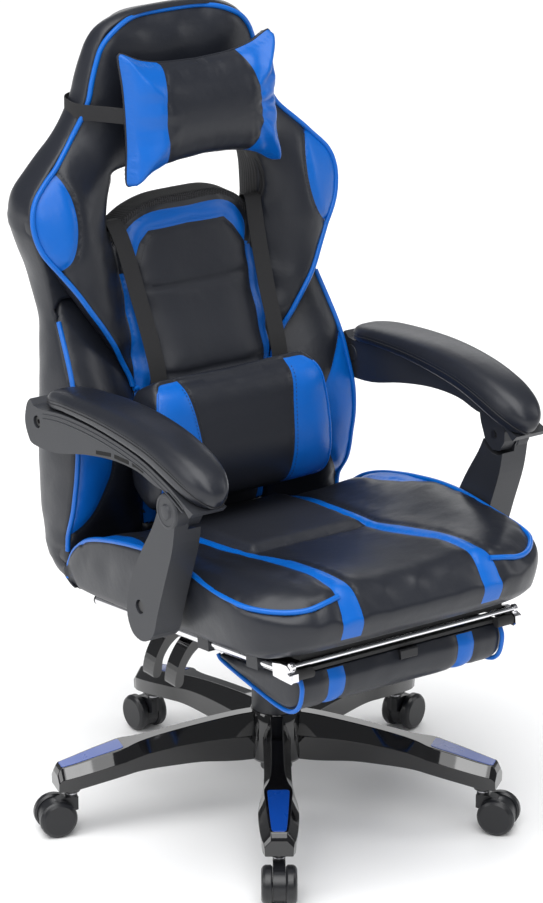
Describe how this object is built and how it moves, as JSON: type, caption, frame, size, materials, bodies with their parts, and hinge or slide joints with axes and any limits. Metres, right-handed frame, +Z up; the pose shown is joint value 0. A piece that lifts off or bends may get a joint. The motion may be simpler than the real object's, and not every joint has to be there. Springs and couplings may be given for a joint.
{
  "type": "gaming chair",
  "caption": "High-backed reclining swivel chair with bucket wings, neck and lumbar cushions, linked armrests, slide-out footrest and a star base on casters.",
  "frame": {"origin": "on the floor, on the swivel axis of the gas lift, between the five casters", "axes": "+Z up, the chair faces -Y, +X towards the sitter's left"},
  "size_m": [0.7616, 0.7977, 1.24],
  "materials": {
    "gloss_black": "glossy moulded nylon",
    "inset_blue": "satin blue inset",
    "black_plastic": "fine textured moulded plastic",
    "caster_black": "dull moulded nylon",
    "black_steel": "black powder coat",
    "plain_steel": "zinc plated",
    "chrome": "polished chrome",
    "board_black": "black painted board",
    "leather_black": "black synthetic leather, fine grain",
    "pillow_leather": "black and blue synthetic leather",
    "strap_black": "woven elastic strap"
  },
  "bodies": {
    "base": {"star_base": "gloss_black", "base_inserts": "inset_blue", "caster_stems": "plain_steel", "gas_lift_tube": "gloss_black", "dust_cover_lower": "black_plastic"},
    "lift": {"gas_lift_rod": "gloss_black", "dust_cover_upper": "black_plastic"},
    "seat": {"mechanism_plate": "black_steel", "mechanism_housing": "black_steel", "recline_pin": "plain_steel", "recline_spring": "plain_steel", "seat_bolts": "black_steel", "seat_board": "board_black", "seat_cushion": "leather_black", "arm_front_bolts": "black_steel", "footrest_guides": "black_plastic"},
    "height_lever": {"height_lever_rod": "black_steel", "height_lever_paddle": "gloss_black"},
    "recline_lever": {"recline_lever_rod": "black_steel", "recline_lever_paddle": "gloss_black"},
    "back": {"back_bracket": "black_steel", "back_frame": "black_steel", "back_bolts": "black_steel", "back_cushion": "leather_black", "neck_pillow": "pillow_leather", "neck_strap": "strap_black", "lumbar_straps": "strap_black"},
    "lumbar": {"lumbar_cushion": "pillow_leather"},
    "strut_left": {"arm_strut_left": "black_plastic", "knuckle_pins_left": "black_steel"},
    "arm_left": {"arm_shell_left": "black_plastic", "arm_pad_left": "leather_black", "arm_rear_bolt_left": "black_steel"},
    "strut_right": {"arm_strut_right": "black_plastic", "knuckle_pins_right": "black_steel"},
    "arm_right": {"arm_shell_right": "black_plastic", "arm_pad_right": "leather_black", "arm_rear_bolt_right": "black_steel"},
    "footrest_slider": {"footrest_rails": "chrome", "footrest_crossbar": "chrome", "footrest_end_brackets": "chrome", "footrest_pivot_bolts": "black_steel"},
    "footrest_flap": {"footrest_board": "board_black", "footrest_pad": "leather_black"},
    "caster_1": {"caster_hood_1": "caster_black"},
    "wheel_1a": {"caster_wheel_1a": "caster_black"},
    "wheel_1b": {"caster_wheel_1b": "caster_black"},
    "caster_2": {"caster_hood_2": "caster_black"},
    "wheel_2a": {"caster_wheel_2a": "caster_black"},
    "wheel_2b": {"caster_wheel_2b": "caster_black"},
    "caster_3": {"caster_hood_3": "caster_black"},
    "wheel_3a": {"caster_wheel_3a": "caster_black"},
    "wheel_3b": {"caster_wheel_3b": "caster_black"},
    "caster_4": {"caster_hood_4": "caster_black"},
    "wheel_4a": {"caster_wheel_4a": "caster_black"},
    "wheel_4b": {"caster_wheel_4b": "caster_black"},
    "caster_5": {"caster_hood_5": "caster_black"},
    "wheel_5a": {"caster_wheel_5a": "caster_black"},
    "wheel_5b": {"caster_wheel_5b": "caster_black"}
  },
  "joints": [
    {"name": "gas_lift", "type": "slide", "parent": "base", "child": "lift", "axis": [0, 0, 1], "range_m": [-0.05, 0.04]},
    {"name": "seat_swivel", "type": "hinge", "parent": "lift", "child": "seat", "pos_m": [0, 0, 0.3], "axis": [0, 0, 1], "continuous": true},
    {"name": "recline", "type": "hinge", "parent": "seat", "child": "back", "pos_m": [0, 0.17, 0.328], "axis": [-1, 0, 0], "range_deg": [0, 40]},
    {"name": "strut_left_swing", "type": "hinge", "parent": "seat", "child": "strut_left", "pos_m": [0.3, -0.114, 0.445], "axis": [-1, 0, 0], "range_deg": [0, 64.5]},
    {"name": "arm_left_knuckle", "type": "hinge", "parent": "strut_left", "child": "arm_left", "pos_m": [0.3, -0.191, 0.621], "axis": [-1, 0, 0], "range_deg": [-55.7, 0]},
    {"name": "strut_right_swing", "type": "hinge", "parent": "seat", "child": "strut_right", "pos_m": [-0.3, -0.114, 0.445], "axis": [-1, 0, 0], "range_deg": [0, 64.5]},
    {"name": "arm_right_knuckle", "type": "hinge", "parent": "strut_right", "child": "arm_right", "pos_m": [-0.3, -0.191, 0.621], "axis": [-1, 0, 0], "range_deg": [-55.7, 0]},
    {"name": "footrest_slide", "type": "slide", "parent": "seat", "child": "footrest_slider", "axis": [0, -0.9925, 0.1219], "range_m": [0, 0.3]},
    {"name": "footrest_flip", "type": "hinge", "parent": "footrest_slider", "child": "footrest_flap", "pos_m": [0, -0.34477, 0.38499], "axis": [-1, 0, 0], "range_deg": [0, 180]},
    {"name": "height_lever_lift", "type": "hinge", "parent": "seat", "child": "height_lever", "pos_m": [-0.08, -0.007, 0.318], "axis": [0, 1, 0], "range_deg": [0, 12], "stiffness_Nm_per_rad": 6, "springref_deg": -5.73},
    {"name": "recline_lever_lift", "type": "hinge", "parent": "seat", "child": "recline_lever", "pos_m": [-0.08, 0.056, 0.312], "axis": [0, 1, 0], "range_deg": [0, 12], "stiffness_Nm_per_rad": 6, "springref_deg": -5.73},
    {"name": "lumbar_height", "type": "slide", "parent": "back", "child": "lumbar", "axis": [0, 0, 1], "range_m": [0, 0.05]},
    {"name": "caster_1_swivel", "type": "hinge", "parent": "base", "child": "caster_1", "pos_m": [-0.18557, -0.2825, 0.063], "axis": [0, 0, 1], "continuous": true},
    {"name": "wheel_1a_roll", "type": "hinge", "parent": "caster_1", "child": "wheel_1a", "pos_m": [-0.19984, -0.30423, 0.03], "axis": [0.8358, -0.549, 0], "continuous": true},
    {"name": "wheel_1b_roll", "type": "hinge", "parent": "caster_1", "child": "wheel_1b", "pos_m": [-0.19984, -0.30423, 0.03], "axis": [0.8358, -0.549, 0], "continuous": true},
    {"name": "caster_2_swivel", "type": "hinge", "parent": "base", "child": "caster_2", "pos_m": [0.21133, -0.26379, 0.063], "axis": [0, 0, 1], "continuous": true},
    {"name": "wheel_2a_roll", "type": "hinge", "parent": "caster_2", "child": "wheel_2a", "pos_m": [0.22759, -0.28408, 0.03], "axis": [0.7804, 0.6252, 0], "continuous": true},
    {"name": "wheel_2b_roll", "type": "hinge", "parent": "caster_2", "child": "wheel_2b", "pos_m": [0.22759, -0.28408, 0.03], "axis": [0.7804, 0.6252, 0], "continuous": true},
    {"name": "caster_3_swivel", "type": "hinge", "parent": "base", "child": "caster_3", "pos_m": [0.31618, 0.11947, 0.063], "axis": [0, 0, 1], "continuous": true},
    {"name": "wheel_3a_roll", "type": "hinge", "parent": "caster_3", "child": "wheel_3a", "pos_m": [0.3405, 0.12866, 0.03], "axis": [-0.3535, 0.9354, 0], "continuous": true},
    {"name": "wheel_3b_roll", "type": "hinge", "parent": "caster_3", "child": "wheel_3b", "pos_m": [0.3405, 0.12866, 0.03], "axis": [-0.3535, 0.9354, 0], "continuous": true},
    {"name": "caster_4_swivel", "type": "hinge", "parent": "base", "child": "caster_4", "pos_m": [-0.01592, 0.33762, 0.063], "axis": [0, 0, 1], "continuous": true},
    {"name": "wheel_4a_roll", "type": "hinge", "parent": "caster_4", "child": "wheel_4a", "pos_m": [-0.01715, 0.3636, 0.03], "axis": [-0.9989, -0.0471, 0], "continuous": true},
    {"name": "wheel_4b_roll", "type": "hinge", "parent": "caster_4", "child": "wheel_4b", "pos_m": [-0.01715, 0.3636, 0.03], "axis": [-0.9989, -0.0471, 0], "continuous": true},
    {"name": "caster_5_swivel", "type": "hinge", "parent": "base", "child": "caster_5", "pos_m": [-0.32602, 0.08919, 0.063], "axis": [0, 0, 1], "continuous": true},
    {"name": "wheel_5a_roll", "type": "hinge", "parent": "caster_5", "child": "wheel_5a", "pos_m": [-0.3511, 0.09605, 0.03], "axis": [-0.2639, -0.9646, 0], "continuous": true},
    {"name": "wheel_5b_roll", "type": "hinge", "parent": "caster_5", "child": "wheel_5b", "pos_m": [-0.3511, 0.09605, 0.03], "axis": [-0.2639, -0.9646, 0], "continuous": true}
  ],
  "couplings": [
    {"joint": "strut_left_swing", "follows": "recline", "ratio": 1.61},
    {"joint": "strut_right_swing", "follows": "recline", "ratio": 1.61},
    {"joint": "arm_left_knuckle", "follows": "recline", "ratio": -1.39},
    {"joint": "arm_right_knuckle", "follows": "recline", "ratio": -1.39},
    {"joint": "footrest_flip", "follows": "footrest_slide", "rad_per_m": 10.471}
  ]
}
